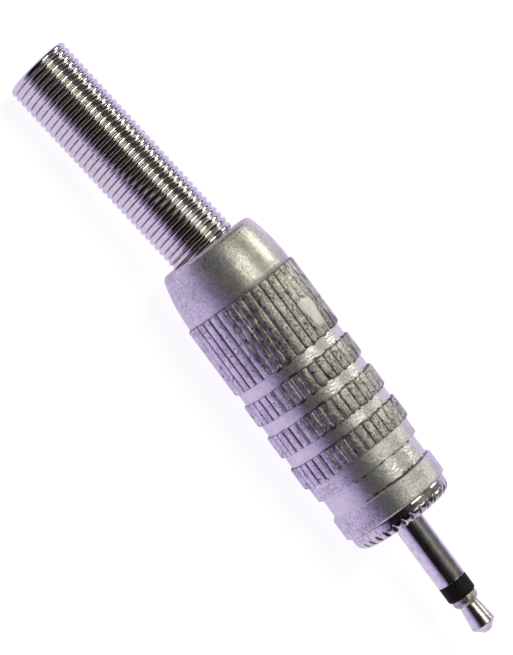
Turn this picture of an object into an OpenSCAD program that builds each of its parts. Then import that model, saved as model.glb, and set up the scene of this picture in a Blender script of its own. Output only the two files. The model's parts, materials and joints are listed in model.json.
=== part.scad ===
// Straight two contact jack plug with a screwed, knurled metal shell and a strain relief spring.
// It lies along X with the pin's tip at +X and +Z up, on the shell's ribs and on the end of the spring.
// The origin is on the axis, at the front face of the flange.

/* [Grip of the shell] */
// Diameter over the tops of the knurled ribs
grip_d = 10.15; // [9.9:0.05:10.6]
// Number of ribs round the shell
rib_count = 38; // [30:2:44]
// Width of the groove between two ribs, at their tops
rib_gap = 0.2; // [0.14:0.02:0.3]
// Depth of the groove between two ribs
rib_depth = 0.13; // [0.08:0.01:0.2]
// Chamfer at both ends of the ribs
rib_chamfer = 0.1; // [0.05:0.01:0.15]
// Length of the long knurled grip
grip_len = 6.3; // [5.5:0.1:7.5]
// Number of short knurled rings in front of the grip
ring_count = 3; // [2:1:4]
// Length of one short ring
ring_len = 2.0; // [1.6:0.1:2.4]
// Width of the turned groove behind each short ring
ring_gap = 1.07; // [0.8:0.01:1.4]
// Depth of the turned groove below the rib tops
ring_gap_depth = 0.255; // [0.22:0.005:0.32]

/* [Ends of the shell] */
// Length of the bowed collar at the back
collar_len = 4.6; // [4:0.1:5.4]
// Step from the rib tops down to the collar's front end
collar_step = 0.24; // [0.15:0.01:0.35]
// Radius of the collar's bowed side
collar_bow = 15.5; // [12:0.5:24]
// Radius of the rounded back corner of the collar
collar_round = 0.55; // [0.4:0.05:0.7]
// Length of the smooth band in front of the rings
band_len = 1.4; // [1.1:0.1:1.8]
// Step from the rib tops down to the smooth band
band_step = 0.325; // [0.28:0.005:0.4]
// Length of the turned waist
waist_len = 1.8; // [1.4:0.1:2.2]
// Step from the rib tops down to the waist
waist_step = 0.66; // [0.5:0.02:0.75]
// Length of the front lip
lip_len = 2.06; // [1.7:0.02:2.5]
// Step from the rib tops down to the front lip
lip_step = 0.35; // [0.25:0.01:0.45]
// Chamfer on the edges of the front lip
lip_chamfer = 0.14; // [0.08:0.02:0.2]

/* [Inside of the shell] */
// Wall left between the waist and the bore
shell_wall = 0.52; // [0.45:0.01:0.6]
// Thickness of the wall round the rear mouth
mouth_wall = 2.2; // [1.9:0.1:2.5]
// Radial clearance of the spring in the rear mouth
mouth_clear = 0.3; // [0.26:0.01:0.36]
// Rounded edge of the rear mouth
mouth_round = 0.25; // [0.15:0.05:0.3]
// Chamfer at the front of the bore
bore_chamfer = 0.15; // [0.1:0.05:0.25]

/* [Strain relief spring] */
// Outer diameter of the spring
spring_d = 5.75; // [5.5:0.05:5.9]
// Diameter of the spring's wire
wire_d = 0.53; // [0.44:0.01:0.53]
// Pitch of the close-wound coils
coil_pitch = 0.55; // [0.54:0.01:0.62]
// Length of the spring that stands out of the shell
spring_reach = 19.65; // [15:0.05:24]
// Sideways lean of the spring, in degrees
spring_swing = 3.6; // [0:0.1:4]
// Turns of the wide retaining coil in front of the rear wall
flare_turns = 1.25; // [1:0.25:1.5]
// Turns over which the wire widens to the retaining coil
flare_blend = 0.5; // [0.25:0.25:0.75]
// Radius that the retaining coil adds to the spring
flare_step = 0.48; // [0.42:0.01:0.5]

/* [Pin] */
// Diameter of the pin
pin_d = 2.5; // [2.4:0.05:2.6]
// Length of the shank in front of the flange
shank_len = 6.1; // [5:0.1:7]
// Length of the black insulating ring
insulator_len = 1.5; // [1.2:0.1:1.8]
// Chamfer at the front of the insulating ring
insulator_chamfer = 0.2; // [0.1:0.05:0.3]
// Length of the tip in front of the insulating ring
tip_len = 3.4; // [3:0.1:3.8]
// Diameter of the collar at the back of the tip
tip_collar_d = 2.17; // [2:0.01:2.3]
// Length of the collar at the back of the tip
tip_collar_len = 0.44; // [0.36:0.02:0.56]
// Distance from the insulating ring to the tip's neck
neck_at = 0.76; // [0.7:0.02:0.9]
// Diameter of the tip's neck
neck_d = 1.6; // [1.4:0.02:1.8]
// Distance from the insulating ring to the widest part of the tip
belly_at = 2.76; // [2.5:0.02:2.85]
// Largest diameter of the tip in front of its neck
tip_d = 2.1; // [1.9:0.02:2.3]
// Diameter of the blunt end of the tip
nose_d = 1.1; // [0.7:0.05:1.2]
// Chamfer round the blunt end of the tip
nose_chamfer = 0.2; // [0.1:0.02:0.24]
// Diameter of the rod that carries the tip
rod_d = 1.0; // [0.8:0.05:1.1]
// Wall of the shank's tube
shank_wall = 0.35; // [0.3:0.01:0.4]

/* [Flange and thread] */
// Diameter of the toothed flange
flange_d = 8.85; // [8.5:0.05:9.2]
// Thickness of the flange
flange_t = 1.3; // [1.1:0.05:1.6]
// Radius of the flange's rounded front corner
flange_round = 0.8; // [0.5:0.05:0.9]
// Number of teeth round the flange
tooth_count = 32; // [28:2:36]
// Turn of the teeth round the axis, in degrees
tooth_turn = 8.5; // [0:0.5:11]
// Depth of the notch between two teeth
tooth_depth = 0.24; // [0.12:0.02:0.26]
// Width of the notch between two teeth, at the flange's corner
notch_w = 0.46; // [0.3:0.02:0.56]
// Length of the threaded boss behind the flange
boss_len = 4.8; // [4.4:0.1:5.4]
// Chamfer at the back of the boss
boss_chamfer = 0.25; // [0.15:0.05:0.35]
// Width of the thread's run-out groove
relief_len = 0.5; // [0.3:0.05:0.7]
// Depth of the thread's run-out groove
relief_depth = 0.35; // [0.2:0.05:0.45]

/* [Back of the sleeve body] */
// Diameter of the spigot that carries the cable clamp
spigot_d = 4.2; // [4:0.1:4.6]
// Diameter of the rim staked over the cable clamp
rim_d = 4.7; // [4.5:0.05:5]
// Thickness of the staked rim
rim_t = 0.3; // [0.2:0.05:0.4]
// Diameter of the seat of the rear insulator
bush_d = 3.2; // [3:0.1:3.6]
// Depth of the seat of the rear insulator
bush_len = 0.9; // [0.6:0.1:1.4]
// Diameter of the rear insulator's flange
washer_d = 4.6; // [4.2:0.1:4.8]
// Thickness of the rear insulator's flange
washer_t = 0.6; // [0.4:0.05:0.8]

/* [Tags] */
// Sheet thickness of the cable clamp
clamp_t = 0.35; // [0.25:0.05:0.4]
// Width of the cable clamp's strip
clamp_w = 2.6; // [2:0.1:3]
// Length of the cable clamp behind the boss
clamp_len = 9; // [8:0.5:10]
// Length of the folded clamp fingers
finger_len = 2.6; // [2:0.1:3]
// Opening of the clamp between its fingers, in degrees
finger_open = 100; // [80:5:120]
// Diameter of the tip lug's disc
lug_d = 4.2; // [3.8:0.1:4.4]
// Sheet thickness of the tip lug
lug_t = 0.3; // [0.2:0.05:0.4]
// Width of the tip lug's tail
lug_w = 1.5; // [1.2:0.1:1.8]
// Length of the tip lug's tail
lug_len = 3.6; // [3:0.1:4.5]
// Diameter of the solder hole in the tip lug
lug_hole_d = 0.8; // [0.5:0.1:0.9]
// Diameter of the rod's riveted end
rivet_d = 1.7; // [1.5:0.05:2]
// Thickness of the rod's riveted end
rivet_t = 0.3; // [0.2:0.05:0.4]
// Chamfer of the rod's riveted end
rivet_chamfer = 0.12; // [0.08:0.02:0.16]

/* [Liner] */
// Wall of the insulating liner
liner_wall = 0.4; // [0.3:0.05:0.45]

/* [Clearances] */
// Radial clearance of the thread in the shell
thread_clear = 0.08; // [0.05:0.01:0.1]
// Gap between the flange and the shell's front edge
seat_gap = 0.05; // [0.03:0.01:0.1]
// Radial clearance of the liner in the shell
liner_clear = 0.08; // [0.05:0.01:0.1]
// Radial clearance between pieces of the plug that are pressed together
fit_clear = 0.02; // [0.01:0.005:0.03]
// End clearance between the spring's retaining coil and its seats
flare_clear = 0.12; // [0.08:0.01:0.2]
// Radial clearance between the cable clamp and the liner
clamp_clear = 0.3; // [0.2:0.05:0.4]

/* [Hidden] */
$fn = 96;
arc_steps = 6;
coil_steps = 14;
wire_sides = 6;
over = 1;

grip_r = grip_d / 2;
groove_r = grip_r - ring_gap_depth;
band_r = grip_r - band_step;
waist_r = grip_r - waist_step;
lip_r = grip_r - lip_step;
collar_front_r = grip_r - collar_step;
bow_r = collar_front_r - collar_bow;
bow_run = collar_len - collar_round;
corner_r = bow_r + sqrt(pow(collar_bow - collar_round, 2) - pow(bow_run, 2));
corner_angle = -atan2(bow_run, corner_r - bow_r);
bore_r = waist_r - shell_wall;
mouth_r = spring_d / 2 + mouth_clear;
rib_pitch = 360 / rib_count;
rib_half = rib_pitch / 2 - asin(rib_gap / 2 / grip_r);

shell_front = -flange_t - seat_gap;
lip_back = shell_front - lip_len;
waist_back = lip_back - waist_len;
band_back = waist_back - band_len;
grip_front = band_back - ring_count * (ring_len + ring_gap);
grip_back = grip_front - grip_len;
shell_back = grip_back - collar_len;
cavity_back = shell_back + mouth_wall;

coil_r = spring_d / 2 - wire_d / 2;
rest_depth = grip_r * cos(rib_half);
spring_arm = spring_reach + mouth_wall / 2;
spring_droop = asin(rest_depth / norm([spring_arm, spring_d / 2])) - atan2(spring_d / 2, spring_arm);
spring_tilt = acos(cos(spring_swing) * cos(spring_droop));
pivot_x = shell_back + mouth_wall / 2;
flare_r = coil_r + flare_step;
flare_lift = (flare_r + wire_d / 2) * sin(spring_tilt);
flare_start = mouth_wall / 2 + flare_clear + flare_lift + wire_d / 2 + flare_blend * coil_pitch;
spring_turns = (spring_arm + flare_start) / coil_pitch + flare_turns;
flare_depth = flare_start + flare_turns * coil_pitch + wire_d / 2 + flare_lift;
first_turn = -flare_start / coil_pitch - flare_turns;

pin_r = pin_d / 2;
sleeve_bore_r = pin_r - shank_wall;
rod_r = rod_d / 2;
tip_back = shank_len + insulator_len;
tip_front = tip_back + tip_len;
boss_r = bore_r - thread_clear;
boss_back = -flange_t - boss_len;
rim_front = boss_back - clamp_t - fit_clear;
rim_back = rim_front - rim_t;
bush_front = rim_back + bush_len;
washer_back = rim_back - washer_t;
lug_back = washer_back - lug_t;
rivet_back = lug_back - rivet_t;
lug_top = lug_d / 2 - lug_t;

liner_r = bore_r - liner_clear;
liner_bore_r = liner_r - liner_wall;
liner_front = boss_back - seat_gap;
liner_back = pivot_x + flare_depth + flare_clear;
clamp_r = liner_bore_r - clamp_clear;

// Points along an arc of radius r about (cx, cz).
function arc(cx, cz, r, from, to) =
    [for (i = [0:arc_steps]) let (a = from + (to - from) * i / arc_steps) [cx + r * cos(a), cz + r * sin(a)]];

// A point at radius r and angle a.
function polar(r, a) = [r * cos(a), r * sin(a)];

// Turns a profile of radius and height about the plug's axis, laid along X.
module turned(profile) {
    rotate([0, 90, 0])
        rotate_extrude()
            polygon(profile);
}

// A band of straight ribs between two heights, with its ends chamfered.
module knurl(back, front) {
    rotate([0, 90, 0])
        intersection() {
            translate([0, 0, back])
                linear_extrude(height = front - back)
                    polygon([for (i = [0:rib_count - 1], p = [
                        polar(grip_r, i * rib_pitch - rib_half),
                        polar(grip_r, i * rib_pitch + rib_half),
                        polar(grip_r - rib_depth, (i + 0.5) * rib_pitch)]) p]);
            rotate_extrude()
                polygon([
                    [0, back],
                    [grip_r - rib_chamfer, back],
                    [grip_r + rib_chamfer, back + 2 * rib_chamfer],
                    [grip_r + rib_chamfer, front - 2 * rib_chamfer],
                    [grip_r - rib_chamfer, front],
                    [0, front]]);
        }
}

module shell() {
    color([0.62, 0.61, 0.63])
        difference() {
            union() {
                turned(concat(
                    [[0, shell_back]],
                    arc(corner_r, shell_back + collar_round, collar_round, -90, corner_angle),
                    arc(bow_r, grip_back, collar_bow, corner_angle, 0),
                    [[groove_r, grip_back],
                    [groove_r, band_back],
                    [band_r, band_back],
                    [band_r, waist_back],
                    [waist_r, waist_back],
                    [waist_r, lip_back],
                    [lip_r - lip_chamfer, lip_back],
                    [lip_r, lip_back + lip_chamfer],
                    [lip_r, shell_front - lip_chamfer],
                    [lip_r - lip_chamfer, shell_front],
                    [0, shell_front]]));
                knurl(grip_back, grip_front);
                for (i = [0:ring_count - 1])
                    knurl(grip_front + i * (ring_len + ring_gap) + ring_gap,
                        grip_front + (i + 1) * (ring_len + ring_gap));
            }
            turned(concat(
                [[0, shell_back - over],
                [mouth_r + mouth_round, shell_back - over]],
                arc(mouth_r + mouth_round, shell_back + mouth_round, mouth_round, -90, -180),
                [[mouth_r, cavity_back],
                [bore_r, cavity_back],
                [bore_r, shell_front - bore_chamfer],
                [bore_r + bore_chamfer, shell_front],
                [bore_r + bore_chamfer, shell_front + over],
                [0, shell_front + over]]));
        }
}

// Radius of the spring's wire at a turn counted from the middle of the mouth.
function coil_radius(t) =
    coil_r + flare_step * min(1, max(0, (-flare_start / coil_pitch - t) / flare_blend + 1));

module strain_relief_spring() {
    count = round(spring_turns * coil_steps);
    rings = [for (i = [0:count]) let (t = first_turn + i / coil_steps, a = 360 * t)
        [for (k = [0:wire_sides - 1]) let (
            r = coil_radius(t) + wire_d / 2 * cos(k * 360 / wire_sides),
            z = coil_pitch * t + wire_d / 2 * sin(k * 360 / wire_sides))
            [r * cos(a), r * sin(a), z]]];
    sides = [for (i = [0:count - 1], k = [0:wire_sides - 1]) let (
        low = i * wire_sides,
        next = (k + 1) % wire_sides)
        [low + k, low + next, low + wire_sides + next, low + wire_sides + k]];
    first_end = [for (k = [wire_sides - 1:-1:0]) k];
    last_end = [for (k = [0:wire_sides - 1]) count * wire_sides + k];
    color([0.8, 0.8, 0.82])
        translate([pivot_x, 0, 0])
            rotate([0, -spring_droop, spring_swing])
                rotate([0, -90, 0])
                    polyhedron([for (ring = rings, p = ring) p], concat(sides, [first_end, last_end]));
}

module insulating_liner() {
    color([0.2, 0.2, 0.22])
        turned([
            [liner_bore_r, liner_back],
            [liner_r, liner_back],
            [liner_r, liner_front],
            [liner_bore_r, liner_front]]);
}

// The notches between the teeth, cut across the flange's front corner.
module tooth_notches() {
    slope = notch_w / 2 / tooth_depth;
    for (i = [0:tooth_count - 1])
        rotate([360 * i / tooth_count + tooth_turn, 0, 0])
            translate([-flange_round, 0, flange_d / 2 - flange_round])
                rotate([0, 45, 0])
                    translate([0, 0, flange_round - tooth_depth])
                        rotate([0, 90, 0])
                            translate([0, 0, -flange_round])
                                linear_extrude(height = 2 * flange_round)
                                    polygon([[0, 0], [-over, slope * over], [-over, -slope * over]]);
}

module sleeve_body() {
    color([0.78, 0.77, 0.76])
        difference() {
            turned(concat(
                [[sleeve_bore_r, shank_len],
                [sleeve_bore_r, bush_front],
                [bush_d / 2, bush_front],
                [bush_d / 2, rim_back],
                [rim_d / 2, rim_back],
                [rim_d / 2, rim_front],
                [spigot_d / 2, rim_front],
                [spigot_d / 2, boss_back],
                [boss_r - boss_chamfer, boss_back],
                [boss_r, boss_back + boss_chamfer],
                [boss_r, -flange_t - relief_len],
                [boss_r - relief_depth, -flange_t - relief_len],
                [boss_r - relief_depth, -flange_t],
                [flange_d / 2, -flange_t]],
                arc(flange_d / 2 - flange_round, -flange_round, flange_round, 0, 90),
                [[pin_r, 0],
                [pin_r, shank_len]]));
            tooth_notches();
        }
}

module front_insulator() {
    color([0.05, 0.05, 0.05])
        turned([
            [rod_r + fit_clear, tip_back],
            [rod_r + fit_clear, bush_front + fit_clear],
            [sleeve_bore_r - fit_clear, bush_front + fit_clear],
            [sleeve_bore_r - fit_clear, shank_len],
            [pin_r, shank_len],
            [pin_r, tip_back - insulator_chamfer],
            [pin_r - insulator_chamfer, tip_back]]);
}

module tip_contact() {
    color([0.8, 0.79, 0.78])
        turned([
            [0, rivet_back],
            [rivet_d / 2 - rivet_chamfer, rivet_back],
            [rivet_d / 2, rivet_back + rivet_chamfer],
            [rivet_d / 2, lug_back],
            [rod_r, lug_back],
            [rod_r, tip_back],
            [tip_collar_d / 2, tip_back],
            [tip_collar_d / 2, tip_back + tip_collar_len],
            [neck_d / 2, tip_back + neck_at],
            [tip_d / 2, tip_back + belly_at],
            [nose_d / 2, tip_front - nose_chamfer],
            [nose_d / 2 - nose_chamfer, tip_front],
            [0, tip_front]]);
}

module rear_insulator() {
    color([0.12, 0.1, 0.09])
        turned([
            [rod_r + fit_clear, bush_front],
            [rod_r + fit_clear, washer_back],
            [washer_d / 2, washer_back],
            [washer_d / 2, rim_back],
            [bush_d / 2 - fit_clear, rim_back],
            [bush_d / 2 - fit_clear, bush_front]]);
}

module tip_lug() {
    eye_x = lug_back - lug_len + lug_w / 2;
    color([0.75, 0.72, 0.66]) {
        difference() {
            translate([lug_back, 0, 0])
                rotate([0, 90, 0])
                    cylinder(d = lug_d, h = lug_t);
            translate([lug_back - over, 0, 0])
                rotate([0, 90, 0])
                    cylinder(r = rod_r + fit_clear, h = lug_t + 2 * over);
        }
        translate([0, 0, lug_top])
            linear_extrude(height = lug_t)
                difference() {
                    union() {
                        translate([eye_x, -lug_w / 2])
                            square([lug_back + lug_t - eye_x, lug_w]);
                        translate([eye_x, 0])
                            circle(d = lug_w);
                    }
                    translate([eye_x, 0])
                        circle(d = lug_hole_d);
                }
    }
}

module cable_clamp() {
    strip_z = -clamp_r;
    color([0.75, 0.72, 0.66])
        difference() {
            union() {
                translate([boss_back - clamp_t, 0, 0])
                    rotate([0, 90, 0])
                        cylinder(r = clamp_r, h = clamp_t);
                intersection() {
                    translate([boss_back - clamp_len, 0, 0])
                        rotate([0, 90, 0])
                            difference() {
                                cylinder(r = clamp_r, h = clamp_len);
                                translate([0, 0, -over])
                                    cylinder(r = clamp_r - clamp_t, h = clamp_len + 2 * over);
                            }
                    translate([boss_back - clamp_len - over, -clamp_w / 2, strip_z - over])
                        cube([clamp_len + 2 * over, clamp_w, clamp_r]);
                }
                translate([boss_back - clamp_len, 0, 0])
                    rotate([0, 90, 0])
                        rotate([0, 0, finger_open / 2 - 180])
                            rotate_extrude(angle = 360 - finger_open)
                                translate([clamp_r - clamp_t, 0])
                                    square([clamp_t, finger_len]);
            }
            translate([boss_back - clamp_t - over, 0, 0])
                rotate([0, 90, 0])
                    cylinder(r = spigot_d / 2 + fit_clear, h = clamp_t + 2 * over);
        }
}

shell();
strain_relief_spring();
insulating_liner();
sleeve_body();
front_insulator();
tip_contact();
rear_insulator();
tip_lug();
cable_clamp();
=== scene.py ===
"""Looks of a straight two contact jack plug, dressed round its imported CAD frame.

The plug lies along X with the tip of its pin at +X. The classes hold their sizes in millimetres, apart from
the studio's floor, lamps and clipping, and the meshes are in metres.
"""

from __future__ import annotations

import json
import logging
from dataclasses import dataclass, field, replace
from enum import Enum
from math import acos, atan2, cos, hypot, pi, radians, sin, sqrt, tan
from typing import Any, Iterable, Sequence

import bmesh
import bpy
import numpy as np
from mathutils import Matrix, Vector

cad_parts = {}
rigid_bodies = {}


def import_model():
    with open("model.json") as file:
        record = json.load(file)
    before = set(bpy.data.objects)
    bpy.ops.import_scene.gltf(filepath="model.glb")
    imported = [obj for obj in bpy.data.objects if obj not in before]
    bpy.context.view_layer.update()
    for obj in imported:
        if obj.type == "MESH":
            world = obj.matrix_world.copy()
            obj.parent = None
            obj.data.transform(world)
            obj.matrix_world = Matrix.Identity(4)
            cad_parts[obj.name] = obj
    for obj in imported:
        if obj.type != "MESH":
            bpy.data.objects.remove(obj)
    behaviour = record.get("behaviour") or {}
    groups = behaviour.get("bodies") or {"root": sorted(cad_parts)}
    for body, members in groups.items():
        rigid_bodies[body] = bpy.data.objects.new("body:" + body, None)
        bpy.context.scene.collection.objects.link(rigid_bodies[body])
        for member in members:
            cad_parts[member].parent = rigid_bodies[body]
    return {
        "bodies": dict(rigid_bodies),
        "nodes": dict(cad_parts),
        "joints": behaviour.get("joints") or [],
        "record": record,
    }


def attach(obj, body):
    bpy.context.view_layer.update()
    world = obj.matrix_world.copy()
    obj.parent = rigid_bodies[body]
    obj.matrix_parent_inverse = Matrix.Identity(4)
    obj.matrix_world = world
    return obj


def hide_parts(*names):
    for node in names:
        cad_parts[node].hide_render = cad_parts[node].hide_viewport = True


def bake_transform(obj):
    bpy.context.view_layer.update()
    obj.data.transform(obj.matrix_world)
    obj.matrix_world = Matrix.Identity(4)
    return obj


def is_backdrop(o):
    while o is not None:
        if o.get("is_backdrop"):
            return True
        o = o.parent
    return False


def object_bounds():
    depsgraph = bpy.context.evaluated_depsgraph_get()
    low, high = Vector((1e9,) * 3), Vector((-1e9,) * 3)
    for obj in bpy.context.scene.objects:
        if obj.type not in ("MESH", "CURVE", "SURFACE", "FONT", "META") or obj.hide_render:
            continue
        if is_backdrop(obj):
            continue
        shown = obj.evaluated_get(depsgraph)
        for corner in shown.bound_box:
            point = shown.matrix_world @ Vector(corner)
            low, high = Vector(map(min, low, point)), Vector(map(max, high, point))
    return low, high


LOG = logging.getLogger("jack_plug")
MM = 0.001
TINY = 1e-6
MERGE = 1e-8
PHOTO_HEIGHT_PX = 655
ALONG = Vector((1.0, 0.0, 0.0))

Colour = tuple[float, float, float]
Corner = tuple[float, float, float]
Pair = tuple[float, float]
Piece = bpy.types.Object
Socket = bpy.types.NodeSocket

WHITE: Colour = (1.0, 1.0, 1.0)


class Body(Enum):
    """The moving bodies that new pieces ride on."""

    SHELL = "shell"
    SPRING = "spring"
    INSERT = "pin_insert"


class Slot(Enum):
    """The record's material slots."""

    SHELL = "shell_metal"
    WIRE = "spring_wire"
    PLATED = "plated_contact"
    BLACK = "black_plastic"
    LINER = "liner_plastic"
    TAG = "tinned_tag"


class NodeDesk:
    """Lays nodes in one tree and wires them."""

    MIX_SHARE, MIX_FIRST, MIX_SECOND, MIX_RESULT = 0, 6, 7, 2
    SPOT_LIMITS = (0.38, 0.62)

    def __init__(self, tree: bpy.types.NodeTree) -> None:
        """Keeps the tree that the nodes go into."""
        self.tree = tree

    @classmethod
    def emptied(cls, owner: bpy.types.Material | bpy.types.World) -> NodeDesk:
        """Gives a desk on the emptied tree of a material or a world.

        Args:
            owner: what the tree belongs to.

        Returns:
            The desk.
        """
        owner.use_nodes = True
        owner.node_tree.nodes.clear()
        return cls(owner.node_tree)

    def put(self, kind: str, wires: dict[Any, Any] | None = None, **settings: Any) -> bpy.types.Node:
        """Adds a node, sets it up and wires its inputs.

        Args:
            kind: Blender's name of the node type.
            wires: values or output sockets by the input's name or number.
            settings: properties of the node.

        Returns:
            The new node.
        """
        node = self.tree.nodes.new(kind)
        for key, value in settings.items():
            setattr(node, key, value)
        for key, value in (wires or {}).items():
            if isinstance(value, Socket):
                self.tree.links.new(value, node.inputs[key])
            else:
                node.inputs[key].default_value = value
        return node

    def sum(self, operation: str, *values: Any) -> Socket:
        """Works out one number from others, by Blender's name of the sum."""
        return self.put("ShaderNodeMath", dict(enumerate(values)), operation=operation).outputs[0]

    def times(self, first: Any, second: Any) -> Socket:
        """Multiplies two numbers."""
        return self.sum("MULTIPLY", first, second)

    def add(self, first: Any, second: Any, share: float = 1.0) -> Socket:
        """Adds a number, or a share of it, to another one."""
        return self.sum("ADD", first, second if share == 1.0 else self.times(second, share))

    def less(self, first: Any, second: Any) -> Socket:
        """Takes the second number from the first."""
        return self.sum("SUBTRACT", first, second)

    def vector(self, operation: str, *values: Any, out: int = 0) -> Socket:
        """Works out a vector sum; out is 1 where its result is a number."""
        return self.put("ShaderNodeVectorMath", dict(enumerate(values)), operation=operation).outputs[out]

    def split(self, vector: Any) -> bpy.types.NodeOutputs:
        """Gives the X, Y and Z of a vector."""
        return self.put("ShaderNodeSeparateXYZ", {0: vector}).outputs

    def place(self) -> Socket:
        """Gives the object's own coordinates, in metres."""
        return self.put("ShaderNodeTexCoord").outputs["Object"]

    def seen(self) -> Socket:
        """Tells whether the camera looks at the surface, straight or through another one."""
        path = self.put("ShaderNodeLightPath").outputs
        return self.sum("MAXIMUM", path["Is Camera Ray"], path["Is Transmission Ray"])

    def between(self, value: Any, low: float, high: float, start: float = 0.0, end: float = 1.0) -> Socket:
        """Carries a number from low and high to start and end, held at the ends."""
        wires = {"Value": value, "From Min": low, "From Max": high, "To Min": start, "To Max": end}
        return self.put("ShaderNodeMapRange", wires, clamp=True).outputs["Result"]

    def between_mm(self, value: Any, span: Pair, start: float = 0.0, end: float = 1.0) -> Socket:
        """Does the same for a length in metres and a span in millimetres."""
        return self.between(value, span[0] * MM, span[1] * MM, start, end)

    def noise(self, place: Any, size: float, detail: float = 3.0, rough: float = 0.55) -> Socket:
        """Gives cloudy noise of about 0.3 to 0.7, with spots of a size in millimetres."""
        wires = {"Vector": place, "Scale": 1.0 / (size * MM), "Detail": detail, "Roughness": rough}
        return self.put("ShaderNodeTexNoise", wires).outputs["Fac"]

    def lines(self, along: Any, size: float) -> Socket:
        """Gives noise along one direction only, as a lathe tool's marks, at a spacing in millimetres."""
        wires = {"W": along, "Scale": 1.0 / (size * MM), "Detail": 2.0}
        return self.put("ShaderNodeTexNoise", wires, noise_dimensions="1D").outputs["Fac"]

    def gloss(self, place: Any, size: float, rough: Pair) -> Socket:
        """Gives a roughness that changes between two values in fine spots."""
        return self.between(self.noise(place, size, detail=2.0), *self.SPOT_LIMITS, *rough)

    def mix(self, share: Any, first: Any, second: Any) -> Socket:
        """Mixes two colours.

        Args:
            share: share of the second colour.
            first: colour or socket.
            second: colour or socket.

        Returns:
            The socket with the mixed colour.
        """
        first, second = ((*c, 1.0) if isinstance(c, tuple) else c for c in (first, second))
        wires = {self.MIX_SHARE: share, self.MIX_FIRST: first, self.MIX_SECOND: second}
        return self.put("ShaderNodeMix", wires, data_type="RGBA").outputs[self.MIX_RESULT]


@dataclass(frozen=True)
class Finish:
    """A surface finish with its material and the record's slot that it belongs to."""

    name: str
    slot: Slot
    tone: Colour

    def material(self) -> bpy.types.Material:
        """Gives the material, made at its first use.

        Returns:
            The finish's material.
        """
        made = bpy.data.materials.get(self.name)
        if made is None:
            made = bpy.data.materials.new(self.name)
            made.diffuse_color = (*self.tone, 1.0)
            self.paint(NodeDesk.emptied(made))
        return made

    def paint(self, desk: NodeDesk) -> None:
        """Lays the material's nodes; each finish has its own."""
        raise NotImplementedError

    def shade(self, desk: NodeDesk, looks: dict[str, Any], height: Any, depth: float) -> None:
        """Ends the material in one shader with a bump.

        Args:
            desk: where the nodes go.
            looks: the shader's inputs.
            height: socket of the bump's height, 0 to 1.
            depth: depth of the bump in millimetres.
        """
        bump = desk.put("ShaderNodeBump", {"Height": height, "Strength": 1.0, "Distance": depth * MM})
        shader = desk.put("ShaderNodeBsdfPrincipled", {**looks, "Normal": bump.outputs[0]})
        desk.put("ShaderNodeOutputMaterial", {"Surface": shader.outputs[0]})


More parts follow.
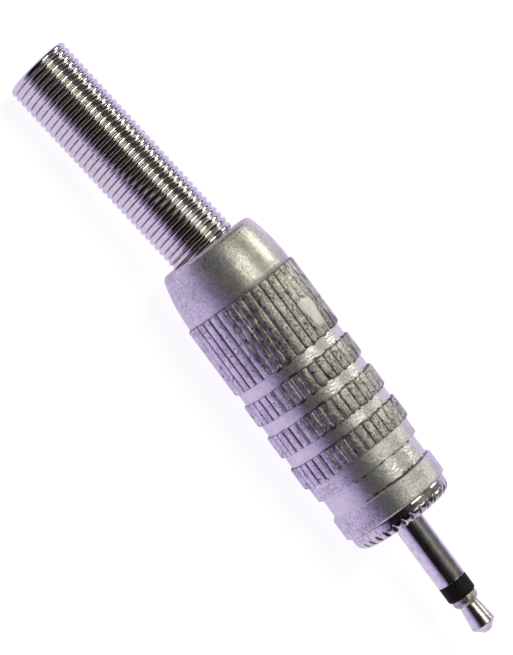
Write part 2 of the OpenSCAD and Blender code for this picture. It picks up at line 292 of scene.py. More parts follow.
@dataclass(frozen=True)
class CastMetal(Finish):
    """Dull plated die-casting with grain and pits, and where given with painted shade darker and warmer
    towards the top, painted shade in the grooves and on the ribs' sides, a tinge and a speck.
    """

    dark: Colour
    rough: Pair
    grain_depth: float
    metal: float = 0.88
    grain: float = 0.2
    cloud: float = 1.3
    grit: float = 0.32
    dent: float = 0.6
    dent_depth: float = 0.012
    light: Pair = (0.55, 0.85)
    wear: Pair = (0.5, 0.85)
    pit: Colour = (0.05, 0.045, 0.045)
    pit_share: float = 0.68
    pit_edge: float = 0.06
    gloss_size: float = 0.0
    # top_shade and the three fields after it: painted shade, darker and warmer colours towards the top of
    # the piece.
    top_shade: Colour = (0.24, 0.222, 0.208)
    top_shade_tone: Colour = (0.84, 0.81, 0.775)
    top_shade_share: float = 0.05
    top_shade_span: Pair | None = None
    # groove_shade and shade_band fields: painted shade in the grooves, and on the ribs' sides in a band of
    # height where the light ends.
    groove_shade: Colour = (0.06, 0.054, 0.056)
    groove_shade_share: Pair = (0.85, 0.38)
    groove_span: Pair | None = None
    shade_band: Colour = (0.07, 0.058, 0.07)
    shade_band_cover: float = 0.72
    shade_band_limits: Pair = (0.62, 0.70)
    shade_band_share: float = 0.17
    shade_band_size: float = 0.3
    shade_band_wind: Corner = (0.4, 1.0, 1.0)
    shade_band_from: Pair = (2.3, 3.1)
    shade_band_to: Pair = (4.1, 4.7)
    crest: Pair = (5.015, 5.05)
    crest_share: float = 0.55
    copper: Colour = (0.62, 0.40, 0.32)
    tinge_edge: float = 0.06
    tinge_cloud: Pair = (0.42, 0.6)
    tinge_share: Pair = (0.2, 0.8)
    tinge_before: float | None = None
    speck: Colour = (0.09, 0.006, 0.008)
    speck_r: Pair = (0.09, 0.16)
    speck_at: Corner | None = None

    def paint(self, desk: NodeDesk) -> None:
        """Lays grain, pits, the painted shade in the grooves and on the ribs' sides, the coppery tinge and
        the red speck, the roughness and the bump.
        """
        place = desk.place()
        grain = desk.noise(place, self.grain, detail=4.0, rough=0.65)
        cloud = desk.noise(place, self.cloud)
        grit = desk.noise(place, self.grit, detail=2.0, rough=0.7)
        colour = self.plating(desk, place, desk.add(grain, cloud, share=0.5))
        pits = desk.between(grit, self.pit_share, self.pit_share + self.pit_edge)
        colour = desk.mix(pits, colour, self.pit)
        # Painted shade in the grooves and on the ribs' sides.
        if self.groove_span:
            colour = self.rib_shade(desk, place, colour)
        if self.tinge_before is not None:
            span = (self.tinge_before, self.tinge_before - self.tinge_edge)
            tinge = desk.between_mm(desk.split(place)["X"], span)
            tinge = desk.times(tinge, desk.between(cloud, *self.tinge_cloud, *self.tinge_share))
            colour = desk.mix(tinge, colour, self.copper)
        if self.speck_at is not None:
            away = desk.vector("DISTANCE", place, tuple(c * MM for c in self.speck_at), out=1)
            colour = desk.mix(desk.between_mm(away, self.speck_r, 1.0, 0.0), colour, self.speck)
        if self.gloss_size > 0.0:
            rough = desk.gloss(place, self.gloss_size, self.rough)
        else:
            rough = desk.between(desk.add(grain, cloud, share=0.4), *self.wear, *reversed(self.rough))
        fine = desk.times(desk.add(grain, grit, share=0.5), self.grain_depth)
        height = desk.add(fine, desk.noise(place, self.dent, detail=1.0), share=self.dent_depth)
        self.shade(desk, {"Base Color": colour, "Metallic": self.metal, "Roughness": rough}, height, 1.0)

    def plating(self, desk: NodeDesk, place: Socket, bright: Socket) -> Socket:
        """Lays the plating, with painted shade on its upper side: darker, warmer colours towards the top.

        Args:
            desk: where the nodes go.
            place: socket of the coordinates.
            bright: socket of how bright each spot is.

        Returns:
            The socket with the colour.
        """
        dark, tone = self.dark, self.tone
        # Painted shade: the colours turn darker and warmer towards the top.
        if self.top_shade_span:
            top_shade = desk.between_mm(desk.split(place)["Z"], self.top_shade_span)
            dark = desk.mix(top_shade, self.dark, self.top_shade)
            tone = desk.mix(top_shade, self.tone, self.top_shade_tone)
            bright = desk.less(bright, desk.times(top_shade, self.top_shade_share))
        return desk.mix(desk.between(bright, *self.light), dark, tone)

    def rib_shade(self, desk: NodeDesk, place: Socket, colour: Socket) -> Socket:
        """Lays painted shade in the grooves, weaker towards the top, and streaky painted shade, mostly in a
        band on the ribs' sides where the light ends.

        Args:
            desk: where the nodes go.
            place: socket of the coordinates.
            colour: socket of the colour so far.

        Returns:
            The socket with the new colour.
        """
        height = desk.split(place)["Z"]
        radius = desk.vector("LENGTH", desk.vector("MULTIPLY", place, (0.0, 1.0, 1.0)), out=1)
        deep = desk.between_mm(radius, self.groove_span, 1.0, 0.0)
        share = desk.between_mm(height, self.shade_band_to, *self.groove_shade_share)
        # Painted shade in the grooves, weaker towards the top.
        colour = desk.mix(desk.times(deep, share), colour, self.groove_shade)
        above = desk.between_mm(height, self.shade_band_from)
        below = desk.between_mm(height, self.shade_band_to, self.shade_band_share, 0.0)
        sides = desk.between_mm(radius, self.crest, 1.0, self.crest_share)
        wound = desk.vector("MULTIPLY", place, self.shade_band_wind)
        streak = desk.noise(wound, self.shade_band_size, detail=4.0, rough=0.65)
        # Streaky painted shade, mostly in a band of height on the ribs' sides, fainter on the crests.
        shade_band_mask = desk.sum("MULTIPLY_ADD", desk.times(above, below), sides, streak)
        return desk.mix(desk.between(shade_band_mask, *self.shade_band_limits, 0.0, self.shade_band_cover), colour, self.shade_band)


@dataclass(frozen=True)
class TurnedMetal(Finish):
    """Bare turned metal with the fine rings of the lathe tool and a slight crumple."""

    dark: Colour = (0.80, 0.795, 0.78)
    rough: Pair = (0.16, 0.60)
    metal: float = 0.88
    wind: Corner = (1.0, 0.3, 0.3)
    gloss_size: float = 0.05
    cloud: float = 0.5
    light: Pair = (0.75, 1.2)
    ring_size: float = 0.09
    ring_depth: float = 0.034
    ring_share: float = 0.12
    crumple: float = 0.17
    edges: tuple[float, ...] = ()
    # edge_shade: painted shade along the groove edges, only on the upper side and wider towards the top.
    edge_shade: Colour = (0.20, 0.17, 0.19)
    edge_width: float = 0.2
    patch: float = 0.6
    patch_limits: Pair = (0.4, 0.6)
    edge_shade_span: Pair = (1.8, 3.2)

    def paint(self, desk: NodeDesk) -> None:
        """Lays the tool's rings over a faint cloud, with painted shade along the edges of each groove on the
        upper side.
        """
        place = desk.place()
        parts = desk.split(place)
        rings = desk.lines(parts["X"], self.ring_size)
        cloud = desk.noise(place, self.cloud, detail=4.0, rough=0.6)
        colour = desk.mix(desk.between(desk.add(rings, cloud), *self.light), self.dark, self.tone)
        # Painted shade along each edge, of patchy width, only on the upper side.
        patch = desk.between(desk.noise(place, self.patch), *self.patch_limits, 0.0, self.edge_width * MM)
        reach = desk.times(desk.between_mm(parts["Z"], self.edge_shade_span), patch)
        soft = (-0.5 * self.edge_width, 0.1 * self.edge_width)
        for edge in self.edges:
            away = desk.sum("ABSOLUTE", desk.less(parts["X"], edge * MM))
            unshaded = desk.between_mm(desk.less(away, reach), soft)
            colour = desk.mix(unshaded, self.edge_shade, colour)
        rough = desk.gloss(place, self.gloss_size, self.rough)
        crumple = desk.noise(desk.vector("MULTIPLY", place, self.wind), self.crumple, detail=1.0)
        looks = {"Base Color": colour, "Metallic": self.metal, "Roughness": rough}
        self.shade(desk, looks, desk.add(crumple, rings, share=self.ring_share), self.ring_depth)


@dataclass(frozen=True)
class BrightPlate(Finish):
    """Bright nickel plate with faint stains, fine lengthwise scratches and painted shade where the mesh is
    marked.
    """

    dark: Colour = (0.56, 0.55, 0.54)
    rough: Pair = (0.06, 0.16)
    light: Pair = (0.5, 0.8)
    wear: Pair = (0.75, 1.2)
    stain: float = 0.5
    scratch: Corner = (0.12, 1.0, 1.0)
    scratch_size: float = 0.08
    depth: float = 0.004
    # mark_shade: painted shade, darkest where the marked layer is deepest.
    mark_shade: Colour = (0.05, 0.042, 0.05)
    mark_shade_cover: float = 0.9
    mark_shade_limits: Pair = (0.15, 0.55)
    shade_mark: str = ""

    def paint(self, desk: NodeDesk) -> None:
        """Lays stains, scratches and the painted shade where the mesh is marked."""
        place = desk.place()
        stains = desk.noise(place, self.stain, detail=4.0, rough=0.6)
        marks = desk.noise(desk.vector("MULTIPLY", place, self.scratch), self.scratch_size, detail=2.0)
        light = desk.between(desk.add(stains, marks, share=0.5), *self.light)
        colour = desk.mix(light, self.dark, self.tone)
        # Painted shade from the mesh's mark layer, such as the depth of the flange's notches.
        if self.shade_mark:
            mark = desk.put("ShaderNodeAttribute", attribute_name=self.shade_mark).outputs["Fac"]
            colour = desk.mix(desk.between(mark, *self.mark_shade_limits, 0.0, self.mark_shade_cover), colour, self.mark_shade)
        rough = desk.between(desk.add(stains, marks), *self.wear, *self.rough)
        looks = {"Base Color": colour, "Metallic": 1.0, "Roughness": rough}
        self.shade(desk, looks, desk.add(marks, stains, share=0.7), self.depth)


@dataclass(frozen=True)
class MouldedPlastic(Finish):
    """Moulded plastic with a fine grain and a faint change of tone."""

    dark: Colour
    rough: Pair
    gloss: float = 0.4
    light: Pair = (0.35, 0.65)
    wear: Pair = (0.8, 1.2)
    grain: float = 0.09
    cloud: float = 0.7
    depth: float = 0.006

    def paint(self, desk: NodeDesk) -> None:
        """Lays the grain and the change of tone."""
        place = desk.place()
        grain = desk.noise(place, self.grain)
        cloud = desk.noise(place, self.cloud, detail=2.0)
        colour = desk.mix(desk.between(cloud, *self.light), self.dark, self.tone)
        rough = desk.between(desk.add(grain, cloud), *self.wear, *self.rough)
        looks = {"Base Color": colour, "Metallic": 0.0, "Roughness": rough, "Specular IOR Level": self.gloss}
        self.shade(desk, looks, grain, self.depth)


class FinishBook:
    """All finishes of the plug."""

    # The top_shade settings below paint shade on the upper side of the cast, collar and knurl finishes.
    cast = CastMetal(
        "matte_die_cast", Slot.SHELL, (0.95, 0.94, 0.965), dark=(0.54, 0.53, 0.545), rough=(0.34, 0.50),
        grain_depth=0.04, top_shade=(0.50, 0.48, 0.48), top_shade_tone=(0.83, 0.81, 0.815), top_shade_share=0.0,
        top_shade_span=(3.6, 4.5))
    collar = CastMetal(
        "smooth_die_cast", Slot.SHELL, (0.97, 0.96, 0.985), dark=(0.58, 0.57, 0.585), rough=(0.24, 0.68),
        gloss_size=0.05, grain_depth=0.009, dent_depth=0.014, pit_share=0.69, tinge_before=-26.62,
        top_shade=(0.44, 0.43, 0.415), top_shade_tone=(0.71, 0.70, 0.68), top_shade_share=0.0, top_shade_span=(3.3, 4.3))
    # The knurl's groove_span turns on its painted shade in the grooves and on the ribs' sides.
    knurl = CastMetal(
        "knurled_die_cast", Slot.SHELL, (0.98, 0.94, 1.0), dark=(0.52, 0.47, 0.58), rough=(0.3, 0.5),
        grain=0.17, grain_depth=0.06, pit_share=0.62, top_shade_span=(2.9, 4.3), groove_span=(4.945, 4.997),
        speck_at=(-15.92, 0.15, 5.06))
    turned = TurnedMetal("turned_metal", Slot.SHELL, (0.97, 0.96, 0.975))
    wire = BrightPlate(
        "bright_spring_wire", Slot.WIRE, (0.84, 0.82, 0.80), dark=(0.70, 0.69, 0.66), rough=(0.04, 0.10),
        stain=0.7, depth=0.0005)
    plated = BrightPlate("bright_nickel_plate", Slot.PLATED, (0.84, 0.83, 0.82))
    # notched: painted shade in the flange's notches, by their depth.
    notched = BrightPlate(
        "notched_nickel_plate", Slot.PLATED, (0.84, 0.83, 0.82), dark=(0.30, 0.27, 0.25), rough=(0.06, 0.2),
        stain=0.24, depth=0.0025, shade_mark="notch")
    tip = BrightPlate(
        "brushed_nickel_plate", Slot.PLATED, (0.80, 0.79, 0.775), rough=(0.20, 0.28), depth=0.0003)
    worn = BrightPlate(
        "worn_nickel_plate", Slot.PLATED, (0.66, 0.64, 0.62), dark=(0.20, 0.19, 0.18), rough=(0.3, 0.5),
        stain=0.34, depth=0.012)
    black = MouldedPlastic(
        "satin_black_moulding", Slot.BLACK, (0.032, 0.029, 0.027), dark=(0.022, 0.020, 0.019),
        rough=(0.4, 0.55), gloss=0.1)
    liner = MouldedPlastic(
        "dull_sleeving", Slot.LINER, (0.10, 0.10, 0.11), dark=(0.06, 0.06, 0.065), rough=(0.5, 0.7),
        grain=0.2)
    tag = BrightPlate(
        "dull_tinned_sheet", Slot.TAG, (0.74, 0.71, 0.64), dark=(0.46, 0.43, 0.36), rough=(0.3, 0.5),
        stain=0.8)
    smear = CastMetal(
        "dried_pale_smear", Slot.SHELL, (0.82, 0.82, 0.81), dark=(0.70, 0.70, 0.69), rough=(0.5, 0.66),
        grain_depth=0.012, dent_depth=0.01, pit_share=0.8)


def in_scene(name: str, data: bpy.types.ID) -> Piece:
    """Puts a new object into the scene.

    Args:
        name: the object's name.
        data: its mesh, lens or light.

    Returns:
        The object.
    """
    made = bpy.data.objects.new(name, data)
    bpy.context.scene.collection.objects.link(made)
    return made


class MeshShop:
    """Makes meshes that several sub-assemblies need."""

    @staticmethod
    def rounded(
            corners: Sequence[Corner], steps: int = 3, edge: float = 0.03, most: float = 0.45) -> list[Pair]:
        """Rounds the corners of a closed profile and adds a point beside each round.

        Args:
            corners: place along the axis, radius and rounding of each corner.
            steps: pieces of each round.
            edge: distance of the points that keep the flats flat.
            most: largest share of a side that a round takes.

        Returns:
            The profile's points, as place and radius.
        """
        points: list[np.ndarray] = []
        count = len(corners)
        for i, (x, r, bend) in enumerate(corners):
            here = np.array((x, r))
            before = np.array(corners[i - 1][:2]) - here
            after = np.array(corners[(i + 1) % count][:2]) - here
            reach_before, reach_after = np.linalg.norm(before), np.linalg.norm(after)
            if bend <= 0.0 or min(reach_before, reach_after) < TINY:
                points.append(here)
                continue
            before, after = before / reach_before, after / reach_after
            half = acos(float(np.clip(before @ after, -1.0, 1.0))) / 2
            cut = min(bend / tan(half), most * reach_before, most * reach_after)
            radius = cut * tan(half)
            centre = here + (before + after) / np.linalg.norm(before + after) * radius / sin(half)
            first, last = here + before * cut - centre, here + after * cut - centre
            swing = atan2(first[0] * last[1] - first[1] * last[0], float(first @ last))
            if reach_before > 2 * cut + 3 * edge:
                points.append(here + before * (cut + edge))
            for k in range(steps + 1):
                a = swing * k / steps
                turn = np.array(((cos(a), -sin(a)), (sin(a), cos(a))))
                points.append(centre + turn @ first)
            if reach_after > 2 * cut + 3 * edge:
                points.append(here + after * (cut + edge))
        return [(float(p[0]), float(p[1])) for p in points]

    @staticmethod
    def spot(work: bmesh.types.BMesh, x: float, r: float, a: float) -> bmesh.types.BMVert:
        """Adds a point by its place along the axis, radius and angle from the top."""
        return work.verts.new((x * MM, r * sin(a) * MM, r * cos(a) * MM))

    @staticmethod
    def strip(work: bmesh.types.BMesh, first: Sequence[Any], second: Sequence[Any], closed: bool) -> None:
        """Lays faces between two rows of points, which are rings where closed."""
        for k in range(-len(first), 0 if closed else -1):
            work.faces.new((first[k], first[k + 1], second[k + 1], second[k]))

    @staticmethod
    def lathe(name: str, profile: Sequence[Pair], segments: int) -> Piece:
        """Turns a closed profile about the plug's axis.

        Args:
            name: the piece's name.
            profile: place along the axis and radius of each point, in millimetres.
            segments: steps round the axis.

        Returns:
            The turned object.
        """
        work = bmesh.new()
        angles = [2 * pi * k / segments for k in range(segments)]
        rings = [[MeshShop.spot(work, x, r, a) for a in angles] for x, r in profile]
        for i, ring in enumerate(rings):
            after = (i + 1) % len(rings)
            if max(profile[i][1], profile[after][1]) >= TINY:
                MeshShop.strip(work, ring, rings[after], closed=True)
        bmesh.ops.remove_doubles(work, verts=work.verts, dist=MERGE)
        bmesh.ops.dissolve_degenerate(work, edges=work.edges, dist=MERGE / 10)
        return MeshShop.keep(name, work)

    @staticmethod
    def keep(name: str, work: bmesh.types.BMesh, sharp: float = 50.0) -> Piece:
        """Makes an object of a finished mesh, with its faces turned outward.

        Args:
            name: the piece's name.
            work: the mesh at work, which is freed.
            sharp: angle in degrees above which an edge stays sharp.

        Returns:
            The object, in the scene.
        """
        bmesh.ops.recalc_face_normals(work, faces=work.faces)
        mesh = bpy.data.meshes.new(name)
        work.to_mesh(mesh)
        work.free()
        MeshShop.smooth(mesh, sharp)
        return in_scene(name, mesh)

    @staticmethod
    def smooth(mesh: bpy.types.Mesh, sharp: float = 50.0) -> None:
        """Smooths a mesh, apart from its edges above an angle in degrees."""
        mesh.shade_smooth()
        mesh.set_sharp_from_angle(angle=radians(sharp))


class GeometryRule:
    """A Geometry Nodes tree with named inputs, which makes what repeats or winds."""

    def __init__(self, name: str, inputs: dict[str, Sequence[str]]) -> None:
        """Starts the tree.

        Args:
            name: the tree's name.
            inputs: names of the inputs beside the geometry and the material, by kind of socket.
        """
        self.tree = bpy.data.node_groups.new(name, "GeometryNodeTree")
        face = self.tree.interface
        face.new_socket("Geometry", in_out="OUTPUT", socket_type="NodeSocketGeometry")
        for kind, labels in {"Geometry": ("Geometry",), **inputs, "Material": ("Material",)}.items():
            for label in labels:
                face.new_socket(label, in_out="INPUT", socket_type=f"NodeSocket{kind}")
        self.desk = NodeDesk(self.tree)
        self.given = self.desk.put("NodeGroupInput").outputs

    def node(self, kind: str, wires: dict[str, Any] | None = None, **settings: Any) -> Socket:
        """Adds a geometry node and gives its first output."""
        return self.desk.put(f"GeometryNode{kind}", wires, **settings).outputs[0]

    def end(self, geometry: Socket) -> None:
        """Ends the tree in real geometry with its material.

        Args:
            geometry: socket of what was made.
        """
        real = self.node("RealizeInstances", {"Geometry": geometry})
        dressed = self.node("SetMaterial", {"Geometry": real, "Material": self.given["Material"]})
        self.desk.put("NodeGroupOutput", {"Geometry": dressed})

    def make(self, piece: Piece, values: dict[str, Any]) -> Piece:
        """Runs the tree on a piece and keeps the result as plain mesh.

        Args:
            piece: the object that the tree works on.
            values: the inputs' values by name; the others stay 0.

        Returns:
            The same object with its new mesh.
        """
        rule = piece.modifiers.new(self.tree.name, "NODES")
        rule.node_group = self.tree
        known = {s.name: s.identifier for s in self.tree.interface.items_tree if s.in_out == "INPUT"}
        for label, value in values.items():
            rule[known[label]] = value
        graph = bpy.context.evaluated_depsgraph_get()
        made = bpy.data.meshes.new_from_object(piece.evaluated_get(graph), depsgraph=graph)
        piece.modifiers.clear()
        made.name = piece.name
        piece.data = made
        return piece


class RoundArray(GeometryRule):
    """Repeats a piece round the plug's axis, each copy a little different."""

    def __init__(self) -> None:
        """Lays the tree."""
        super().__init__("round_array", {
            "Int": ("Count", "Seed"),
            "Float": ("Phase", "Turn Spread", "Weld"),
            "Vector": ("Size Spread",)})
        desk, given = self.desk, self.given
        points = self.node("MeshLine", {"Count": given["Count"], "Offset": (0.0, 0.0, 0.0)})
        index = self.node("InputIndex")
        step = desk.sum("DIVIDE", 2 * pi, given["Count"])
        wires = {"Seed": given["Seed"]}
        wild = desk.put("FunctionNodeRandomValue", wires, data_type="FLOAT_VECTOR").outputs[0]
        stray = desk.times(desk.less(desk.split(wild)[0], 0.5), given["Turn Spread"])
        angle = desk.add(desk.times(index, step), desk.add(given["Phase"], stray))
        turn = desk.put("ShaderNodeCombineXYZ", {0: angle}).outputs[0]
        size = desk.vector("SUBTRACT", (1.0, 1.0, 1.0), desk.vector("MULTIPLY", wild, given["Size Spread"]))
        wires = {"Points": points, "Instance": given["Geometry"], "Rotation": turn, "Scale": size}
        copies = self.node("InstanceOnPoints", wires)
        real = self.node("RealizeInstances", {"Geometry": copies})
        self.end(self.node("MergeByDistance", {"Geometry": real, "Distance": given["Weld"]}))


class WoundBar(GeometryRule):
    """Winds a bar round an axis, as a spring's wire or a screw thread."""

    def __init__(self) -> None:
        """Lays the tree."""
        super().__init__("wound_bar", {
            "Int": ("Sides", "Steps"),
            "Float": ("First Turn", "Turns", "Pitch", "Radius", "Flare", "Flare Turn", "Flare Blend",
                      "Bar Radius"),
            "Rotation": ("Lean",),
            "Vector": ("Place",)})
        desk, given = self.desk, self.given
        line = self.node("CurvePrimitiveLine", {"End": (0.0, 0.0, 1.0)})
        line = self.node("ResampleCurve", {"Curve": line, "Count": given["Steps"]})
        along = self.node("SplineParameter")
        turn = desk.add(given["First Turn"], desk.times(along, given["Turns"]))
        angle = desk.times(turn, 2 * pi)
        past = desk.sum("DIVIDE", desk.less(given["Flare Turn"], turn), given["Flare Blend"])
        wide = desk.put("ShaderNodeClamp", {"Value": desk.add(past, 1.0)}).outputs[0]
        radius = desk.add(given["Radius"], desk.times(wide, given["Flare"]))
        spot = desk.put("ShaderNodeCombineXYZ", {
            0: desk.times(radius, desk.sum("COSINE", angle)),
            1: desk.times(radius, desk.sum("SINE", angle)),
            2: desk.times(turn, given["Pitch"])}).outputs[0]
        path = self.node("SetPosition", {"Geometry": line, "Position": spot})
        path = self.node("SetCurveNormal", {"Curve": path}, mode="Z_UP")
        wires = {"Resolution": given["Sides"], "Radius": given["Bar Radius"]}
        ring = self.node("CurvePrimitiveCircle", wires)
        bar = self.node("CurveToMesh", {"Curve": path, "Profile Curve": ring, "Fill Caps": True})
        wires = {"Geometry": bar, "Rotation": given["Lean"], "Translation": given["Place"]}
        self.end(self.node("Transform", wires))


@dataclass
class Workshop:
    """What the sub-assemblies share: finishes and geometry rules."""

    finishes: FinishBook = field(default_factory=FinishBook)
    ring_of: RoundArray = field(default_factory=RoundArray)
    winding: WoundBar = field(default_factory=WoundBar)


def dress(piece: Piece, finish: Finish, body: Body | None, stands_for: Sequence[str] = ()) -> None:
    """Gives a piece its finish and its body, and reports it.

    Args:
        piece: the finished mesh object.
        finish: its main finish.
        body: the body that it rides on, or None to leave it on no body.
        stands_for: CAD nodes that it replaces.
    """
    if not piece.data.materials:
        piece.data.materials.append(finish.material())
    if body is not None:
        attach(piece, body.value)
    if stands_for:
        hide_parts(*stands_for)
    LOG.info("%s: %d faces, %s", piece.name, len(piece.data.polygons), finish.name)


@dataclass
class Shell:
    """The die-cast shell with its bowed collar, knurled bands and turned front end."""

    back: float = -26.72
    cavity_back: float = -24.52
    grip_back: float = -22.12
    grip_front: float = -15.82
    band_back: float = -6.61
    waist_back: float = -5.21
    lip_back: float = -3.41
    front: float = -1.35
    ring_len: float = 2.0
    ring_gap: float = 1.07
    rib_count: int = 38
    rib_top: float = 5.065
    rib_half_width: float = 0.319
    rib_crown: float = 0.045
    rib_foot: float = 4.74
    rib_ends: tuple[Pair, ...] = ((0.0, 0.14), (0.02, 0.07), (0.06, 0.022), (0.13, 0.0))
    rib_turn_spread: float = 0.7
    rib_size_spread: Corner = (0.0, 0.05, 0.003)
    crown_steps: int = 4
    groove_bottom: float = 4.945
    rib_core: float = 4.93
    core_inset: Pair = (0.02, 0.05)
    groove_r: float = 4.82
    collar_front_r: float = 4.835
    collar_bow: float = 15.5
    collar_round: float = 0.55
    bow_steps: int = 12
    round_steps: int = 8
    corner_r: float = 3.726
    band_r: float = 4.75
    waist_r: float = 4.415
    lip_r: float = 4.725
    lip_chamfer: float = 0.14
    bore_r: float = 3.895
    bore_chamfer: float = 0.15
    mouth_r: float = 3.175
    segments: int = 192
    smear_from: float = -19.3
    smear_to: float = -16.3
    smear_angles: Pair = (5.0, 26.0)
    smear_grid: tuple[int, int] = (28, 26)
    smear_floor: float = 4.9
    smear_foot: float = 4.93
    smear_thick: float = 0.142
    smear_edge: float = 0.12

    def bands(self) -> list[Pair]:
        """Gives the back and front of the long knurled grip and of the three short rings."""
        rings = [self.band_back - k * (self.ring_len + self.ring_gap) for k in (2, 1, 0)]
        return [(self.grip_back, self.grip_front)] + [(front - self.ring_len, front) for front in rings]

    def turned_spans(self) -> list[Pair]:
        """Gives the back and front of the turned grooves between the bands and of the waist."""
        bands = self.bands()
        return [(a[1], b[0]) for a, b in zip(bands, bands[1:])] + [(self.waist_back, self.lip_back)]

    def profile(self) -> list[Pair]:
        """Lays out the turned outline, outside and inside.

        Returns:
            The closed profile's points.
        """
        bow_centre = self.collar_front_r - self.collar_bow
        lowest = -atan2(self.grip_back - self.back - self.collar_round, self.corner_r - bow_centre)
        corners: list[Corner] = [(self.back, self.mouth_r, 0.25)]
        for k in range(self.round_steps + 1):
            a = -pi / 2 + (lowest + pi / 2) * k / self.round_steps
            x = self.back + self.collar_round * (1 + sin(a))
            corners.append((x, self.corner_r + self.collar_round * cos(a), 0.0))
        for k in range(1, self.bow_steps + 1):
            a = lowest * (1 - k / self.bow_steps)
            x = self.grip_back + self.collar_bow * sin(a)
            corners.append((x, bow_centre + self.collar_bow * cos(a), 0.0))
        foot, inset = self.core_inset
        for back, front in self.bands():
            corners += [
                (back + foot, self.groove_r, 0.0), (back + inset, self.rib_core, 0.0),
                (front - inset, self.rib_core, 0.0), (front - foot, self.groove_r, 0.0)]
        lip_low = self.lip_r - self.lip_chamfer
        corners += [
            (self.band_back + 0.01, self.band_r, 0.0), (self.waist_back, self.band_r, 0.05),
            (self.waist_back, self.waist_r, 0.06), (self.lip_back, self.waist_r, 0.06),
            (self.lip_back, lip_low, 0.03), (self.lip_back + self.lip_chamfer, self.lip_r, 0.05),
            (self.front - self.lip_chamfer, self.lip_r, 0.05), (self.front, lip_low, 0.04),
            (self.front, self.bore_r + self.bore_chamfer, 0.02),
            (self.front - self.bore_chamfer, self.bore_r, 0.02),
            (self.cavity_back, self.bore_r, 0.08), (self.cavity_back, self.mouth_r, 0.08)]
        return MeshShop.rounded(corners)

    def rib(self, name: str, back: float, front: float) -> Piece:
        """Makes one rib on top of the shell, with rounded shoulders and ends.

        Args:
            name: the object's name.
            back: back end of the band.
            front: front end of the band.

        Returns:
            The rib, in its place above the axis.
        """
        pitch = pi / self.rib_count
        side, shoulder = self.groove_bottom * sin(pitch), self.groove_bottom * cos(pitch)
        steps = self.crown_steps
        crown = [(self.rib_half_width * k / steps, self.rib_top - self.rib_crown * (k / steps) ** 2)
                 for k in range(-steps, steps + 1)]
        cut = [(-side, self.rib_foot), (-side, shoulder), *crown, (side, shoulder), (side, self.rib_foot)]
        stations = [(back + d, drop) for d, drop in self.rib_ends]
        stations += [(front - d, drop) for d, drop in reversed(self.rib_ends)]
        work = bmesh.new()
        loops = []
        for x, drop in stations:
            heights = [(y, max(self.rib_foot, z - drop)) for y, z in cut]
            loops.append([work.verts.new((x * MM, y * MM, z * MM)) for y, z in heights])
        for first, second in zip(loops, loops[1:]):
            MeshShop.strip(work, first, second, closed=True)
        work.faces.new(loops[0])
        work.faces.new(loops[-1])
        return MeshShop.keep(name, work, sharp=40.0)

    def smear_spot(self, s: float, t: float) -> Corner:
        """Gives a point of the smear's wavy, rippled top.

        Args:
            s: share of its length.
            t: share of its width.

        Returns:
            Place along the axis, radius and angle.
        """
        wave = 0.08 * sin(5 * s + 2 * t) + 0.05 * sin(13 * t + 3 * s)
        along = s + wave * (0.5 - abs(s - 0.5)) * 2 + 0.12 * (t - 0.5)
        wide = 0.55 + 0.45 * sin(pi * min(1.0, s + 0.15)) + 0.1 * sin(9 * s)
        lift = min(1.0, min(s, 1 - s, t, 1 - t) / self.smear_edge)
        ripple = 0.0015 * sin(31 * s) * sin(17 * t)
        first, last = self.smear_angles
        return (self.smear_from + (self.smear_to - self.smear_from) * along,
                self.smear_foot + self.smear_thick * sqrt(lift) + ripple,
                radians(first + (last - first) * (0.5 + (t - 0.5) * wide)))

    def smear(self) -> Piece:
        """Makes the thin dried smear that fills the grooves of a few ribs.

        Returns:
            The smear, a closed thin patch.
        """
        rows, columns = self.smear_grid
        spots = [[self.smear_spot(i / rows, j / columns) for j in range(columns + 1)]
                 for i in range(rows + 1)]
        work = bmesh.new()
        top = [[MeshShop.spot(work, x, r, a) for x, r, a in row] for row in spots]
        bottom = [[MeshShop.spot(work, x, self.smear_floor, a) for x, _, a in row] for row in spots]
        for skin in (top, bottom):
            for first, second in zip(skin, skin[1:]):
                MeshShop.strip(work, first, second, closed=False)
        rim = [(0, j) for j in range(columns)] + [(i, columns) for i in range(rows)]
        rim += [(rows, j) for j in range(columns, 0, -1)] + [(i, 0) for i in range(rows, 0, -1)]
        MeshShop.strip(work, [top[i][j] for i, j in rim], [bottom[i][j] for i, j in rim], closed=True)
        return MeshShop.keep("dried_smear", work, sharp=60.0)

    def finish_faces(self, core: Piece, finishes: FinishBook) -> None:
        """Gives the collar, the turned grooves and the waist their own finish.

        Args:
            core: the turned shell.
            finishes: the plug's finishes.
        """
        slack, wall = 0.03, 0.2
        spans = self.turned_spans()
        # The turned finish paints shade along these edges.
        turned = replace(finishes.turned, edges=tuple(x for span in spans for x in span))
        for finish in (finishes.cast, turned, finishes.collar):
            core.data.materials.append(finish.material())
        for face in core.data.polygons:
            x = face.center.x / MM
            outside = hypot(face.center.y, face.center.z) / MM > self.bore_r + wall
            if outside and any(a - slack < x < b + slack for a, b in spans):
                face.material_index = 1
            elif x < self.grip_back + slack:
                face.material_index = 2

    def build(self, shop: Workshop) -> None:
        """Builds and dresses the shell.

        Args:
            shop: finishes and geometry rules.
        """
        core = MeshShop.lathe("shell_body", self.profile(), self.segments)
        self.finish_faces(core, shop.finishes)
        dress(core, shop.finishes.cast, Body.SHELL, ("shell",))
        names = ("grip_ribs", "rear_ring_ribs", "middle_ring_ribs", "front_ring_ribs")
        for seed, (name, (back, front)) in enumerate(zip(names, self.bands()), start=3):
            ribs = shop.ring_of.make(self.rib(name, back, front), {
                "Count": self.rib_count, "Turn Spread": radians(self.rib_turn_spread),
                "Size Spread": self.rib_size_spread, "Seed": seed,
                "Material": shop.finishes.knurl.material()})
            dress(ribs, shop.finishes.knurl, Body.SHELL)
        dress(self.smear(), shop.finishes.smear, Body.SHELL)


